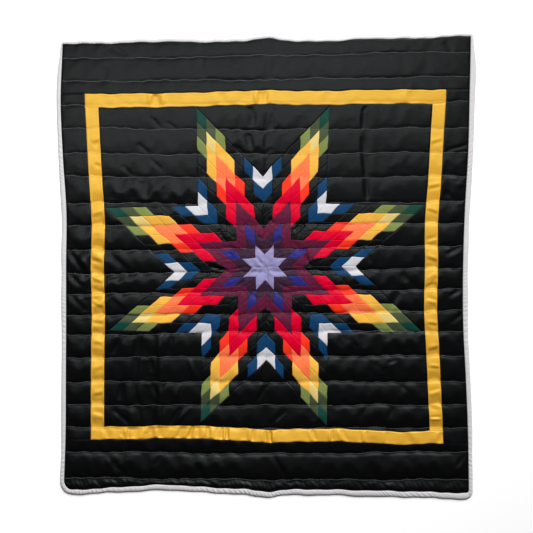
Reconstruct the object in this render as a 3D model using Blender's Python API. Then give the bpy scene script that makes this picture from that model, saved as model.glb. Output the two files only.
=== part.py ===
# Star quilt laid out flat, face up, as a filled and channel-quilted blanket with a white bound edge.
# Metres. X runs across the quilt, Y from its foot to its head, Z up from the surface it rests on.

import math

import bmesh
import bpy

# The filled panel inside the binding, as cut and squared before it was quilted
PANEL_WIDTH = 1.490
PANEL_LENGTH = 1.658
ORIGIN_X = 0.0004
ORIGIN_Y = 0.0039

# Thickness of the filled panel
STITCHED_THICKNESS = 0.0045
EDGE_THICKNESS = 0.0065
CHANNEL_CROWN = 0.0125
EDGE_ROLL = 0.060
CROWN_POWER = 0.45

# The edges pulled in or let out by the quilting, at even stations from one end of a side to the other.
# left and right are read up the quilt, foot and head from left to right.
EDGE_WAVE = (
    {"left": -0.001, "right": -0.002, "foot": -0.007, "head": -0.012},
    {"left": -0.007, "right": -0.005, "foot": -0.017, "head": -0.010},
    {"left": -0.008, "right": -0.013, "foot": -0.027, "head": -0.004},
    {"left": -0.009, "right": -0.023, "foot": -0.016, "head": -0.006},
    {"left": -0.009, "right": -0.023, "foot": -0.010, "head": 0.000},
    {"left": -0.010, "right": -0.016, "foot": -0.010, "head": -0.004},
    {"left": 0.003, "right": -0.004, "foot": -0.006, "head": 0.006},
    {"left": 0.011, "right": 0.001, "foot": -0.002, "head": 0.008},
    {"left": 0.004, "right": 0.005, "foot": 0.004, "head": 0.018},
)
FOLD_NIB = 0.008
FOLD_NIB_WIDTH = 0.055
CORNER_RADIUS = {"foot_left": 0.036, "foot_right": 0.010, "head_left": 0.004, "head_right": 0.004}

# The quilting lines from head to foot: height above the quilt's middle at the left edge, the middle
# and the right edge, and how full the channel below each line is
QUILTING = (
    {"left": 0.762, "middle": 0.774, "right": 0.788, "fill": 0.72},
    {"left": 0.680, "middle": 0.686, "right": 0.697, "fill": 0.72},
    {"left": 0.593, "middle": 0.598, "right": 0.605, "fill": 0.70},
    {"left": 0.509, "middle": 0.501, "right": 0.510, "fill": 0.70},
    {"left": 0.414, "middle": 0.411, "right": 0.420, "fill": 0.72},
    {"left": 0.332, "middle": 0.323, "right": 0.332, "fill": 0.76},
    {"left": 0.233, "middle": 0.229, "right": 0.238, "fill": 0.82},
    {"left": 0.149, "middle": 0.152, "right": 0.160, "fill": 0.90},
    {"left": 0.058, "middle": 0.064, "right": 0.077, "fill": 0.94},
    {"left": -0.028, "middle": -0.020, "right": -0.006, "fill": 0.94},
    {"left": -0.101, "middle": -0.094, "right": -0.083, "fill": 1.00},
    {"left": -0.182, "middle": -0.174, "right": -0.161, "fill": 0.92},
    {"left": -0.253, "middle": -0.240, "right": -0.238, "fill": 1.00},
    {"left": -0.336, "middle": -0.330, "right": -0.328, "fill": 1.02},
    {"left": -0.424, "middle": -0.424, "right": -0.424, "fill": 1.00},
    {"left": -0.509, "middle": -0.510, "right": -0.508, "fill": 0.98},
    {"left": -0.590, "middle": -0.594, "right": -0.592, "fill": 1.02},
    {"left": -0.680, "middle": -0.688, "right": -0.680, "fill": 1.05},
    {"left": -0.776, "middle": -0.783, "right": -0.783, "fill": 0.70},
)
HEAD_CHANNEL_FILL = 0.68

# How far a quilting line strays from its smooth course, in long and in short waves
LINE_WANDER = {"slow": 0.0022, "quick": 0.0012}

# Storage folds and soft drag folds, as troughs (negative) and ridges across the channels
CREASES = (
    {"name": "centre fold", "x": 0.000, "lean": 0.010, "low": -0.84, "high": 0.86,
     "width": 0.016, "depth": -0.0040},
    {"name": "right fold", "x": 0.365, "lean": 0.000, "low": 0.22, "high": 0.60,
     "width": 0.014, "depth": -0.0030},
    {"name": "corner drag", "x": -0.500, "lean": -0.080, "low": -0.68, "high": -0.25,
     "width": 0.026, "depth": 0.0026},
    {"name": "corner hollow", "x": -0.430, "lean": -0.050, "low": -0.68, "high": -0.28,
     "width": 0.024, "depth": -0.0028},
    {"name": "left border drag", "x": -0.690, "lean": 0.160, "low": -0.30, "high": 0.12,
     "width": 0.022, "depth": 0.0022},
    {"name": "right border drag", "x": 0.680, "lean": -0.140, "low": -0.26, "high": 0.16,
     "width": 0.022, "depth": 0.0022},
)

# Where the rows and columns of the filled panel's surface lie: rows as shares of each channel, and
# the first columns in from each side, which are close together to draw the corners and the edge roll
CHANNEL_ROWS = (0.0, 0.10, 0.34, 0.66, 0.90)
SIDE_COLUMNS = (0.0, 0.009, 0.022, 0.042)
COLUMNS = 48

# The white binding, a padded strip round each side
BINDING_GAP = 0.0003
BINDING_THICKNESS = 0.0080
BINDING_WIDTH = {
    "left": (0.014, 0.016, 0.017, 0.013),
    "right": (0.014, 0.018, 0.018, 0.022),
    "foot": (0.016, 0.018, 0.019, 0.022),
    "head": (0.011, 0.013, 0.010, 0.011),
}
BINDING_SECTION = (
    {"across": 0.00, "height": 0.70},
    {"across": 0.22, "height": 0.97},
    {"across": 0.52, "height": 1.00},
    {"across": 0.82, "height": 0.76},
    {"across": 1.00, "height": 0.34},
)

SIDES = ("left", "right", "foot", "head")
ROWS = len(CHANNEL_ROWS) * (len(QUILTING) + 1)


def curve_at(values, share):
    """A smooth curve through evenly spaced values, read at a share of its length from 0 to 1."""
    last = len(values) - 1
    place = min(max(share, 0.0), 1.0) * last
    first = min(int(place), last - 1)
    step = place - first
    before = values[max(first - 1, 0)]
    here = values[first]
    there = values[first + 1]
    after = values[min(first + 2, last)]
    slope_here = (there - before) / 2
    slope_there = (after - here) / 2
    square = step * step
    cube = square * step
    return ((2 * cube - 3 * square + 1) * here + (cube - 2 * square + step) * slope_here
            + (3 * square - 2 * cube) * there + (cube - square) * slope_there)


def edge_wave(side, share):
    return curve_at([station[side] for station in EDGE_WAVE], share)


def fold_nib(x):
    """The centre fold lets the head and foot edges stand out a little."""
    return FOLD_NIB * math.exp(-(x / FOLD_NIB_WIDTH) ** 2)


def side_x(side, share_up, out):
    sign = -1 if side == "left" else 1
    return sign * (PANEL_WIDTH / 2 + edge_wave(side, share_up) + out)


def end_y(end, share_across, out):
    sign = -1 if end == "foot" else 1
    x = (share_across - 0.5) * PANEL_WIDTH
    return sign * (PANEL_LENGTH / 2 + edge_wave(end, share_across) + fold_nib(x) + out)


def rounded(x, y, left, right, foot, head, out):
    """Draws a point near one of the four corners in, so that the square corner becomes an arc."""
    on_left = x < 0
    on_foot = y < 0
    name = ("foot" if on_foot else "head") + ("_left" if on_left else "_right")
    radius = CORNER_RADIUS[name] + out
    across = x - left if on_left else right - x
    along = y - foot if on_foot else head - y
    if across >= radius or along >= radius:
        return x, y
    reach_x = radius - across
    reach_y = radius - along
    far = math.hypot(reach_x, reach_y)
    if far == 0:
        return x, y
    shrink = max(reach_x, reach_y) / far
    new_x = left + radius - reach_x * shrink if on_left else right - radius + reach_x * shrink
    new_y = foot + radius - reach_y * shrink if on_foot else head - radius + reach_y * shrink
    return new_x, new_y


def on_panel(share_across, y_of, out=0.0):
    """The place of a point of the panel. y_of gives its height from the foot and head edges there."""
    foot = end_y("foot", share_across, out)
    head = end_y("head", share_across, out)
    y = y_of(foot, head)
    share_up = (y - foot) / (head - foot)
    left = side_x("left", share_up, out)
    right = side_x("right", share_up, out)
    x = left + (right - left) * share_across
    return rounded(x, y, left, right, foot, head, out)


def quilting_y(line, share_across):
    """Height of a quilting line, which wanders a little on its way across."""
    row = QUILTING[line]
    slow = LINE_WANDER["slow"] * math.sin(share_across * (17 + 3 * (line % 4)) + 1.7 * line)
    quick = LINE_WANDER["quick"] * math.sin(share_across * (43 + 5 * (line % 3)) + 2.9 * line)
    return curve_at((row["left"], row["middle"], row["right"]), share_across) + slow + quick


def channel_ends(channel, share_across, foot, head):
    """The upper and lower bound of a channel: two quilting lines, or a line and an edge."""
    upper = head if channel == 0 else quilting_y(channel - 1, share_across)
    lower = foot if channel == len(QUILTING) else quilting_y(channel, share_across)
    return upper, lower


def crease_height(x, y):
    """The sum of the folds at a point, each fading out towards its two ends."""
    height = 0.0
    for crease in CREASES:
        middle = (crease["low"] + crease["high"]) / 2
        half = (crease["high"] - crease["low"]) / 2
        along = (y - middle) / half
        if abs(along) >= 1:
            continue
        line = crease["x"] + crease["lean"] * (y - middle)
        across = (x - line) / crease["width"]
        height += crease["depth"] * math.exp(-across * across) * (1 - along ** 4)
    return height


def surface_height(x, y, share_down, fill, edge_distance):
    """Height of the quilt's face: a full channel between two stitched lines, rolled off at the sides."""
    swell = (4 * share_down * (1 - share_down)) ** CROWN_POWER
    unevenness = 1 + 0.07 * math.sin(9.0 * x + 5.0 * y) + 0.05 * math.sin(23.0 * x - 11.0 * y)
    crown = STITCHED_THICKNESS + (CHANNEL_CROWN * fill * unevenness - STITCHED_THICKNESS) * swell
    crown += crease_height(x, y) * (0.35 + 0.65 * swell)
    roll = min(edge_distance / EDGE_ROLL, 1.0)
    return EDGE_THICKNESS + (crown - EDGE_THICKNESS) * math.sin(roll * math.pi / 2) ** 0.7


def row_place(row):
    """The channel that a row lies in, and its share of the way down that channel."""
    channel, part = divmod(row, len(CHANNEL_ROWS))
    if row == ROWS:
        return len(QUILTING), 1.0
    return channel, CHANNEL_ROWS[part]


def row_y(row, share_across, foot, head):
    channel, share_down = row_place(row)
    upper, lower = channel_ends(channel, share_across, foot, head)
    return upper + (lower - upper) * share_down


def column_share(column):
    """Share of the way across the panel: close steps at the two sides, even ones between them."""
    last = len(SIDE_COLUMNS) - 1
    from_right = COLUMNS - column
    if column <= last:
        return SIDE_COLUMNS[column] / PANEL_WIDTH
    if from_right <= last:
        return 1 - SIDE_COLUMNS[from_right] / PANEL_WIDTH
    side = SIDE_COLUMNS[last] / PANEL_WIDTH
    return side + (1 - 2 * side) * (column - last) / (COLUMNS - 2 * last)


def panel_point(column, row):
    """One point of the panel's face, at a column across it and a row down it."""
    share_across = column_share(column)
    channel, share_down = row_place(row)
    x, y = on_panel(share_across, lambda foot, head: row_y(row, share_across, foot, head))
    from_side = min(share_across, 1 - share_across) * PANEL_WIDTH
    fill = HEAD_CHANNEL_FILL if channel == 0 else QUILTING[channel - 1]["fill"]
    height = surface_height(x, y, share_down, fill, from_side)
    if row in (0, ROWS):
        height = EDGE_THICKNESS
    return x - ORIGIN_X, y - ORIGIN_Y, height


def binding_width(side, share):
    return curve_at(BINDING_WIDTH[side], share)


def clear_of_mitre(value, low, high):
    """Keeps the end of a strip back from the mitre line that it shares with the next strip."""
    return min(max(value, low + BINDING_GAP), high - BINDING_GAP)


def binding_point(side, step, section):
    """One point of a binding strip, beside the panel's own edge point of the same row or column."""
    if side in ("left", "right"):
        along = 1 - step / ROWS
        at = 0.0 if side == "left" else 1.0
        edge = BINDING_GAP + binding_width(side, along) * BINDING_SECTION[section]["across"]
        x, y = on_panel(
            at, lambda foot, head: clear_of_mitre(row_y(step, at, foot, head), foot, head), edge)
    else:
        along = step / COLUMNS
        share = clear_of_mitre(column_share(step) * PANEL_WIDTH, 0.0, PANEL_WIDTH) / PANEL_WIDTH
        edge = BINDING_GAP + binding_width(side, along) * BINDING_SECTION[section]["across"]
        x, y = on_panel(share, lambda foot, head: foot if side == "foot" else head, edge)
    height = BINDING_THICKNESS * BINDING_SECTION[section]["height"]
    height *= 1 + 0.10 * math.sin(31.0 * along * math.pi)
    return x - ORIGIN_X, y - ORIGIN_Y, height


def material(name, colour, roughness):
    made = bpy.data.materials.new(name)
    made.use_nodes = True
    shader = made.node_tree.nodes["Principled BSDF"]
    shader.inputs["Base Color"].default_value = (*colour, 1.0)
    shader.inputs["Roughness"].default_value = roughness
    shader.inputs["Metallic"].default_value = 0.0
    return made


def black_satin():
    return material("black_satin", (0.012, 0.014, 0.015), 0.42)


def white_cotton():
    return material("white_cotton", (0.62, 0.62, 0.60), 0.85)


def slab(name, columns, rows, point_of, cloth, collection):
    """A solid with a shaped face and a flat underside: a grid put in place point by point, then thickened."""
    mesh = bpy.data.meshes.new(name)
    shape = bmesh.new()
    bmesh.ops.create_grid(shape, x_segments=columns, y_segments=rows, size=0.5)
    for vertex in shape.verts:
        column = round((vertex.co.x + 0.5) * columns)
        row = round((0.5 - vertex.co.y) * rows)
        vertex.co = point_of(column, row)
    face_up = list(shape.faces)
    underside = bmesh.ops.extrude_face_region(shape, geom=face_up)["geom"]
    for item in underside:
        if isinstance(item, bmesh.types.BMVert):
            item.co.z = 0.0
    flat = [item for item in underside if isinstance(item, bmesh.types.BMFace)]
    bmesh.ops.dissolve_faces(shape, faces=flat)
    bmesh.ops.recalc_face_normals(shape, faces=shape.faces)
    shape.to_mesh(mesh)
    shape.free()
    mesh.materials.append(cloth)
    mesh.shade_smooth()
    mesh.set_sharp_from_angle(angle=math.radians(50))
    made = bpy.data.objects.new(name, mesh)
    collection.objects.link(made)
    return made


def quilt_body(cloth, collection):
    return slab("quilt_body", COLUMNS, ROWS, panel_point, cloth, collection)


def binding_strip(side, cloth, collection):
    steps = ROWS if side in ("left", "right") else COLUMNS
    sections = len(BINDING_SECTION) - 1
    return slab("binding_" + side, steps, sections,
                lambda step, section: binding_point(side, step, section), cloth, collection)


def main():
    for old in list(bpy.data.objects):
        bpy.data.objects.remove(old)
    quilt = bpy.data.collections.new("star_quilt")
    bpy.context.scene.collection.children.link(quilt)
    quilt_body(black_satin(), quilt)
    white = white_cotton()
    for side in SIDES:
        binding_strip(side, white, quilt)


main()
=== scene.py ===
import math

import bpy
import numpy as np
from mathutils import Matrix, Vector


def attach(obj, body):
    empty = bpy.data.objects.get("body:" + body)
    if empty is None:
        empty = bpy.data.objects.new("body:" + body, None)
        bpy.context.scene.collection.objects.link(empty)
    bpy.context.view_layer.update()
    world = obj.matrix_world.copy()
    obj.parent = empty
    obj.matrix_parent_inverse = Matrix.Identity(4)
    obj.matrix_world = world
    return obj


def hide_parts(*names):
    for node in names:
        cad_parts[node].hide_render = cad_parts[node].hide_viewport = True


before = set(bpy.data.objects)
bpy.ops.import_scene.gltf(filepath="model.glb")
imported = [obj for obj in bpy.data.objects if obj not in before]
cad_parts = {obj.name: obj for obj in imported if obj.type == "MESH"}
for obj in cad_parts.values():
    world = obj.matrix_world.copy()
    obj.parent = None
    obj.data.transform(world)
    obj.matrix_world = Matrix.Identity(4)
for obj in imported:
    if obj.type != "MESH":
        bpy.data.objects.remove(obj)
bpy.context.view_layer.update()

mm = 0.001

# The quilt lies face up: X across it, Y from foot to head, Z up. Sizes are metres from its middle.
quilt = {
    "width": 1.490,             # the panel inside the white edge
    "length": 1.658,
    "shiftX": -0.0004,          # the frame's origin is the middle of the whole outline
    "shiftY": -0.0039,
    "down": (0, 0.35, 1),       # where the next two are read: head, a third of the way down, foot
    "stitched": (6.4 * mm, 5.9 * mm, 4.5 * mm),     # height of the face along the quilting
    "crownPower": (0.30, 0.62, 0.78),       # channels are flatter at the head, fuller at the foot
    "crown": 12.5 * mm,         # height of a full channel between two lines
    "thinnest": 3.2 * mm,       # no fold presses the face further down than this
    "softStop": 0.8 * mm,       # and how gently it stops there
    "edge": 6.5 * mm,           # the face's height where the white edge is sewn on
    "edgeRoll": 0.060,          # how far in from each side it rounds off
    "cornerRadius": {"footLeft": 0.036, "footRight": 0.010, "headLeft": 0.004, "headRight": 0.004},
    "foldNib": 0.008,           # the long middle fold pushes the head and foot edges out
    "foldNibWidth": 0.055,
    "edgeWave": 1.1 * mm,       # small scallops between the stitches of the edge
    "handWobble": (2.2 * mm, 1.2 * mm, 1.4 * mm),       # drift, wobble and shake of a quilting line
    "ripple": 0.80 * mm,        # in the narrow last channel
}

# How far each edge stands out (or is pulled in) at nine even places along it
panelLines = {
    "width": quilt["width"], "length": quilt["length"], "nib": quilt["foldNib"],
    "left": (-0.001, -0.007, -0.008, -0.009, -0.009, -0.010, 0.003, 0.011, 0.004),
    "right": (-0.002, -0.005, -0.013, -0.023, -0.023, -0.016, -0.004, 0.001, 0.005),
    "foot": (-0.007, -0.017, -0.027, -0.016, -0.010, -0.010, -0.006, -0.002, 0.004),
    "head": (-0.012, -0.010, -0.004, -0.006, 0.000, -0.004, 0.006, 0.008, 0.018),
}

# The outer line of the yellow sash, read the same way, and how wide each band is
sashLines = {
    "width": 1.290, "length": 1.280, "nib": 0.0,
    "left": (-0.001, -0.001, -0.002, -0.004, -0.001, -0.004, 0.006, 0.015, 0.022),
    "right": (0.003, -0.004, -0.011, -0.019, -0.016, -0.016, -0.004, 0.005, 0.014),
    "foot": (-0.006, -0.008, -0.011, -0.006, 0.004, 0.001, 0.003, 0.012, 0.008),
    "head": (-0.007, -0.006, -0.004, 0.001, 0.006, 0.003, 0.006, 0.008, 0.008),
}
sashWidth = {"left": 0.0475, "right": 0.047, "foot": 0.0445, "head": 0.049}

# Quilting lines from head to foot: height at the left edge, middle and right edge, and the fill below
quiltingLines = (
    (0.762, 0.774, 0.788, 0.62), (0.680, 0.686, 0.697, 0.62), (0.593, 0.598, 0.605, 0.60),
    (0.509, 0.501, 0.510, 0.60), (0.414, 0.411, 0.420, 0.62), (0.332, 0.323, 0.332, 0.76),
    (0.233, 0.229, 0.238, 0.82), (0.149, 0.152, 0.160, 0.90), (0.058, 0.064, 0.077, 0.94),
    (-0.028, -0.020, -0.006, 0.94), (-0.101, -0.094, -0.083, 1.00), (-0.182, -0.174, -0.161, 0.92),
    (-0.253, -0.240, -0.238, 1.00), (-0.336, -0.330, -0.328, 1.02), (-0.424, -0.424, -0.424, 1.00),
    (-0.509, -0.510, -0.508, 0.98), (-0.590, -0.594, -0.592, 1.02), (-0.680, -0.688, -0.680, 1.05),
    (-0.776, -0.783, -0.783, 0.86),
)
headFill = 0.60
channelCount = len(quiltingLines) + 1

# The six long folds of the filled quilt: start x and y, end x and y, width, depth, all mm (troughs below 0)
longFolds = (
    (-8, -840, 8, 860, 16, -4.0), (365, 220, 365, 600, 14, -3.0), (-483, -680, -517, -250, 26, 2.6),
    (-420, -680, -440, -280, 24, -2.8), (-724, -300, -656, 120, 22, 2.2), (709, -260, 651, 160, 22, 2.2),
)

# Short drag folds that the quilting and the seams pull into the satin, in the same columns
shortFolds = (
    (-574, 813, -513, 771, 13, -2.2), (-592, 734, -614, 655, 19, -1.7), (-238, 826, -233, 679, 11, -1.4),
    (-281, 752, -305, 655, 21, -1.2), (-427, 551, -384, 505, 8, -2.1), (-366, 532, -326, 502, 6, -1.9),
    (-473, 453, -427, 413, 8, -2.1), (-427, 398, -384, 355, 8, -2.1), (-531, 373, -488, 331, 8, -2.1),
    (-61, 587, -45, 514, 16, -3.7), (-70, 490, -51, 410, 16, -3.7), (-122, 447, -73, 410, 9, -2.7),
    (373, 826, 404, 786, 15, -1.2), (652, 826, 685, 789, 13, -1.9), (370, 590, 355, 569, 6, -3.1),
    (355, 575, 353, 502, 6, -3.1), (351, 477, 367, 318, 8, -4.4), (367, 325, 370, 242, 8, -4.4),
    (31, 581, 19, 505, 9, -2.1), (661, 427, 737, 447, 6, -3.4), (658, 279, 685, 242, 9, -3.7),
    (-727, 61, -666, -22, 11, -5.0), (-690, 42, -635, -28, 11, 4.0), (-727, -25, -666, -83, 10, -4.0),
    (-647, -43, -595, -22, 8, -2.9), (-644, -111, -595, -141, 8, -2.2), (-580, 48, -494, -22, 13, -3.2),
    (-580, -56, -501, -31, 11, -2.5), (-721, -105, -659, -166, 11, -3.2),
    (-574, -117, -513, -166, 11, -2.5), (-213, 2, -140, -16, 7, -6.4), (367, 61, 383, 12, 8, -2.9),
    (486, -95, 450, -166, 13, -4.3), (496, -25, 557, -83, 12, -2.5), (655, 42, 725, 79, 9, -3.2),
    (667, -111, 725, -77, 9, -4.0), (587, -83, 627, -40, 7, -2.9), (587, -46, 624, -25, 8, 1.8),
    (673, -208, 725, -166, 9, -3.2), (141, 48, 160, -1, 7, -7.2), (-464, -218, -486, -431, 14, -6.7),
    (-493, -409, -460, -592, 14, -6.3), (-398, -204, -380, -438, 12, 5.9),
    (-383, -402, -398, -592, 12, 5.8), (-523, -248, -570, -321, 10, -4.6),
    (-427, -328, -420, -387, 8, -4.4), (-424, -420, -398, -482, 8, -4.4), (-563, -523, -493, -585, 8, -4.0),
    (-317, -431, -347, -508, 8, 4.4), (-277, -515, -339, -581, 10, 4.4), (-526, -431, -545, -490, 9, -4.0),
    (-347, -255, -358, -321, 10, -4.0), (-288, -332, -259, -409, 9, 4.0), (-314, -519, -350, -578, 8, -4.0),
    (1, -435, -39, -502, 8, -3.1), (-559, -716, -510, -777, 10, -4.3), (-589, -700, -552, -765, 9, 2.9),
    (-259, -722, -229, -777, 9, -4.0), (-372, -679, -415, -734, 9, -2.3), (28, -697, 77, -780, 9, -4.3),
    (731, -688, 694, -740, 8, -2.9), (398, -352, 431, -389, 8, -2.5), (483, -340, 441, -358, 8, -2.2),
    (306, -263, 337, -300, 8, -2.9), (263, -263, 282, -306, 8, -2.5), (367, -425, 373, -477, 8, -2.2),
    (496, -435, 526, -465, 8, -2.2), (367, -514, 343, -557, 8, -2.2), (465, -520, 441, -563, 8, -2.2),
    (74, -526, 13, -581, 10, -3.2), (404, -697, 367, -758, 12, -1.8), (-5, 8, 3, -59, 6, -5.4),
    (-40, 40, -12, 4, 5, -4.1), (8, -14, 24, -36, 5, 4.1), (-78, -47, -36, -12, 6, -4.2),
    (-165, 72, -82, 57, 6, -4.9), (-136, 80, -97, 46, 5, -4.5), (-128, 66, -118, 33, 5, 4.5),
    (-33, 117, -15, 99, 5, -4.5), (18, 84, 55, 108, 6, -4.9), (120, 56, 152, 61, 5, -4.5),
    (144, 60, 150, 18, 5, -5.8), (82, 129, 134, 150, 6, -4.1), (-108, -69, -80, -52, 5, -4.9),
    (-176, 136, -143, 82, 6, -3.8), (8, 176, 28, 160, 5, -3.6), (36, 24, 64, 40, 5, -3.2),
    (-60, -96, -30, -120, 6, -4.1), (40, -60, 90, -84, 6, -3.6), (-120, -10, -70, 2, 5, -4.1),
    (60, -8, 118, -20, 6, -3.6), (-90, 140, -60, 168, 6, -3.6), (96, 92, 120, 66, 5, -4.1),
)

# Gathers that stand across the sash where its satin is fuller than the filling: high on one side and
# low on the other, in the same columns (read downwards, a depth below 0 makes the right side low)
gathers = (
    (-600, -590, -583, -640, 13, -2.7), (-532, -612, -521, -644, 10, -2.5),
    (-511, -584, -512, -643, 8, -3.6), (-456, -584, -480, -640, 17, 3.4),
    (-431, -584, -434, -612, 10, -3.0), (-399, -584, -397, -642, 11, -4.6),
    (-356, -584, -384, -638, 11, 2.7), (-311, -580, -342, -640, 13, -4.0),
    (-270, -580, -300, -638, 11, -4.4), (-262, -582, -280, -640, 8, 3.6), (-245, -582, -244, -630, 13, 3.0),
    (-221, -582, -217, -622, 10, -3.2), (-192, -584, -189, -640, 14, -4.6),
    (-166, -584, -172, -640, 10, -3.6), (-148, -588, -150, -642, 8, -4.7), (-139, -588, -141, -642, 7, 3.4),
    (-88, -592, -98, -644, 17, -2.7), (-55, -592, -57, -646, 8, -4.7), (-8, -594, -6, -646, 11, -3.2),
    (10, -592, 12, -650, 7, -4.7), (18, -592, 19, -650, 7, 3.9), (40, -592, 36, -646, 14, -2.3),
    (160, -594, 176, -644, 10, -3.4), (237, -596, 236, -646, 7, -3.6), (268, -600, 292, -646, 11, -3.0),
    (349, -600, 351, -648, 10, 1.9), (362, -600, 362, -648, 8, -1.9), (437, -602, 435, -650, 10, -1.7),
    (640, -604, 622, -646, 13, -2.7), (520, -602, 540, -648, 17, 1.7), (-419, 642, -421, 590, 11, -3.7),
    (-392, 642, -388, 590, 14, 3.0), (-34, 647, -30, 594, 11, -3.8), (4, 647, 1, 594, 11, 3.2),
    (514, 642, 526, 598, 14, -2.0), (-180, 640, -168, 596, 18, -1.4), (214, 642, 206, 598, 19, -1.4),
    (-560, 640, -566, 590, 15, -1.2), (-600, 470, -640, 452, 12, -2.3), (-598, 372, -632, 380, 11, -1.9),
    (-600, 196, -646, 186, 11, -2.2), (-596, 44, -650, 66, 12, 3.1), (-596, 16, -650, 34, 11, -3.3),
    (-598, -62, -648, -40, 12, -3.1), (-600, -118, -640, -146, 13, 3.3), (-598, -150, -646, -128, 10, -2.7),
    (-590, -206, -642, -200, 10, -2.5), (-588, -288, -640, -276, 11, -2.2),
    (-590, -366, -640, -384, 12, -2.3), (-588, -462, -636, -470, 10, -2.3),
    (-590, -548, -640, -536, 11, 2.2), (646, 466, 600, 452, 9, -1.8), (640, 300, 588, 288, 10, -2.3),
    (636, 196, 586, 210, 9, -2.0), (634, 106, 584, 92, 10, 2.4), (632, 20, 582, 36, 9, -2.4),
    (632, -58, 584, -72, 10, -2.3), (634, -132, 586, -118, 9, 2.3), (636, -214, 588, -206, 8, -2.2),
    (636, -294, 590, -306, 9, -2.0), (640, -372, 592, -366, 8, -2.2), (640, -452, 592, -464, 9, 2.0),
    (642, -556, 594, -556, 6, 2.8), (640, -520, 594, -512, 10, -1.7),
)

# The side bands also sag: from what share of a channel down, over what share more, and how deep
sashSag = {"from": 0.56, "over": 0.34, "left": 6.0 * mm, "right": 4.6 * mm}

# Where the filling is thin and the satin lies flat: middle x and y, half width and height, how much less
thinPlaces = (
    (-0.42, -0.42, 0.19, 0.20, 0.34), (0.02, -0.52, 0.20, 0.08, 0.16), (0.60, -0.62, 0.16, 0.05, 0.15),
    (0.56, -0.20, 0.24, 0.42, 0.13),
)

# Where the satin is pulled hardest: middle x and y, half width and height, extra share of the puckers
pulledPlaces = (
    (-0.42, 0.26, 0.16, 0.07, 0.75), (-0.05, 0.45, 0.07, 0.12, 0.5), (0.70, 0.30, 0.07, 0.10, 0.5),
    (0.42, -0.27, 0.20, 0.12, 0.35), (-0.66, -0.02, 0.10, 0.16, 0.4), (0.45, -0.04, 0.14, 0.08, 0.2),
    (-0.30, -0.72, 0.25, 0.06, 0.25),
)

# Star: where the seams between the arms end (notches) and the tips, arm by arm, anticlockwise from +X
starCentre = (-0.0055, -0.0018)
starNotches = (
    (0.3245, 0.0022), (0.2182, 0.2292), (-0.0150, 0.3315), (-0.2512, 0.2219),
    (-0.3374, -0.0224), (-0.2365, -0.2439), (0.0000, -0.3429), (0.2241, -0.2439),
)
starTips = (
    (0.5790, 0.2248), (0.2303, 0.5860), (-0.2563, 0.5820), (-0.5882, 0.2153),
    (-0.5768, -0.2343), (-0.2413, -0.5710), (0.2208, -0.5842), (0.5684, -0.2387),
)

starWork = {
    "pucker": 0.48 * mm,        # small drag of the patches on each other
    "puckerReach": 0.26,        # m from the middle of the star
    "wander": 1.5 * mm,         # how far the seams stray from ruled lines
    "wanderReach": 0.60,
}

# One arm, charted from its tip (first) to the quilt's middle (last): seven strips of seven
armChart = (
    "darkGreen olive lightGreen black black blue white",
    "olive paleYellow yellow yellow black black blue",
    "lightGreen yellow coral coral orangeRed black black",
    "black yellow coral red red red black",
    "black black orangeRed red plum plum plum",
    "blue black black red plum violet darkPlum",
    "white blue black black plum darkPlum lavender",
)


# Curves and outlines

noInset = {"left": 0.0, "right": 0.0, "foot": 0.0, "head": 0.0}


# A smooth curve through even places, read at a share of the way along them
def smoothCurve(values, share):
    values = np.asarray(values, float)
    last = len(values) - 1
    place = np.clip(share, 0.0, 1.0) * last
    first = np.minimum(place.astype(int), last - 1)
    near = curveWeights(place - first)
    return sum(values[np.clip(first + step, 0, last)] * weight for step, weight in near)


# How much each of the four places around a point counts, at a part of the way from the second to the third
def curveWeights(part):
    square, cube = part * part, part * part * part
    return (
        (-1, -0.5 * part + square - 0.5 * cube),
        (0, 1 - 2.5 * square + 1.5 * cube),
        (1, 0.5 * part + 2 * square - 1.5 * cube),
        (2, -0.5 * square + 0.5 * cube),
    )


def endY(lines, end, shareAcross, inset=0.0):
    x = (shareAcross - 0.5) * lines["width"]
    nib = lines["nib"] * np.exp(-(x / quilt["foldNibWidth"]) ** 2)
    wave = quilt["edgeWave"] * (np.sin(38 * x + 1.1) + 0.8 * np.sin(83 * x + 2 * np.sin(9 * x)))
    reach = lines["length"] / 2 + smoothCurve(lines[end], shareAcross) + nib + wave - inset
    return -reach if end == "foot" else reach


def sideX(lines, side, shareUp, inset=0.0):
    reach = lines["width"] / 2 + smoothCurve(lines[side], shareUp) - inset
    return -reach if side == "left" else reach


# A point of a wavy rectangle, such as the quilt's outline or the sash's
def framePoint(lines, shareAcross, shareUp, inset=noInset):
    foot = endY(lines, "foot", shareAcross, inset["foot"])
    head = endY(lines, "head", shareAcross, inset["head"])
    y = foot + (head - foot) * shareUp
    left = sideX(lines, "left", shareUp, inset["left"])
    right = sideX(lines, "right", shareUp, inset["right"])
    x = left + (right - left) * shareAcross
    return np.stack(np.broadcast_arrays(x, y), -1)


# Points along one side of a wavy rectangle
def sidePoints(lines, side, place, inset=noInset):
    if side in ("left", "right"):
        return framePoint(lines, np.full_like(place, side == "right"), place, inset)
    return framePoint(lines, place, np.full_like(place, side == "head"), inset)


# A quilting line as a hand guides it, a little different from line to line
def quiltingY(line, share):
    slow, quick, shaky = quilt["handWobble"]
    slow = slow * np.sin(share * (17 + 3 * (line % 4)) + 1.7 * line)
    quick = quick * np.sin(share * (43 + 5 * (line % 3)) + 2.9 * line)
    shaky = shaky * np.sin(share * (111 + 9 * (line % 5)) + 1.3 * line + 2 * np.sin(share * 23 + line))
    return smoothCurve(quiltingLines[line][:3], share) + slow + quick + shaky


# Heights of the head edge, every quilting line and the foot edge, at a share of the way across
def channelBounds(share):
    rows = [endY(panelLines, "head", share)]
    rows += [quiltingY(line, share) for line in range(len(quiltingLines))]
    rows.append(endY(panelLines, "foot", share))
    return np.stack(np.broadcast_arrays(*rows), 0)


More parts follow.
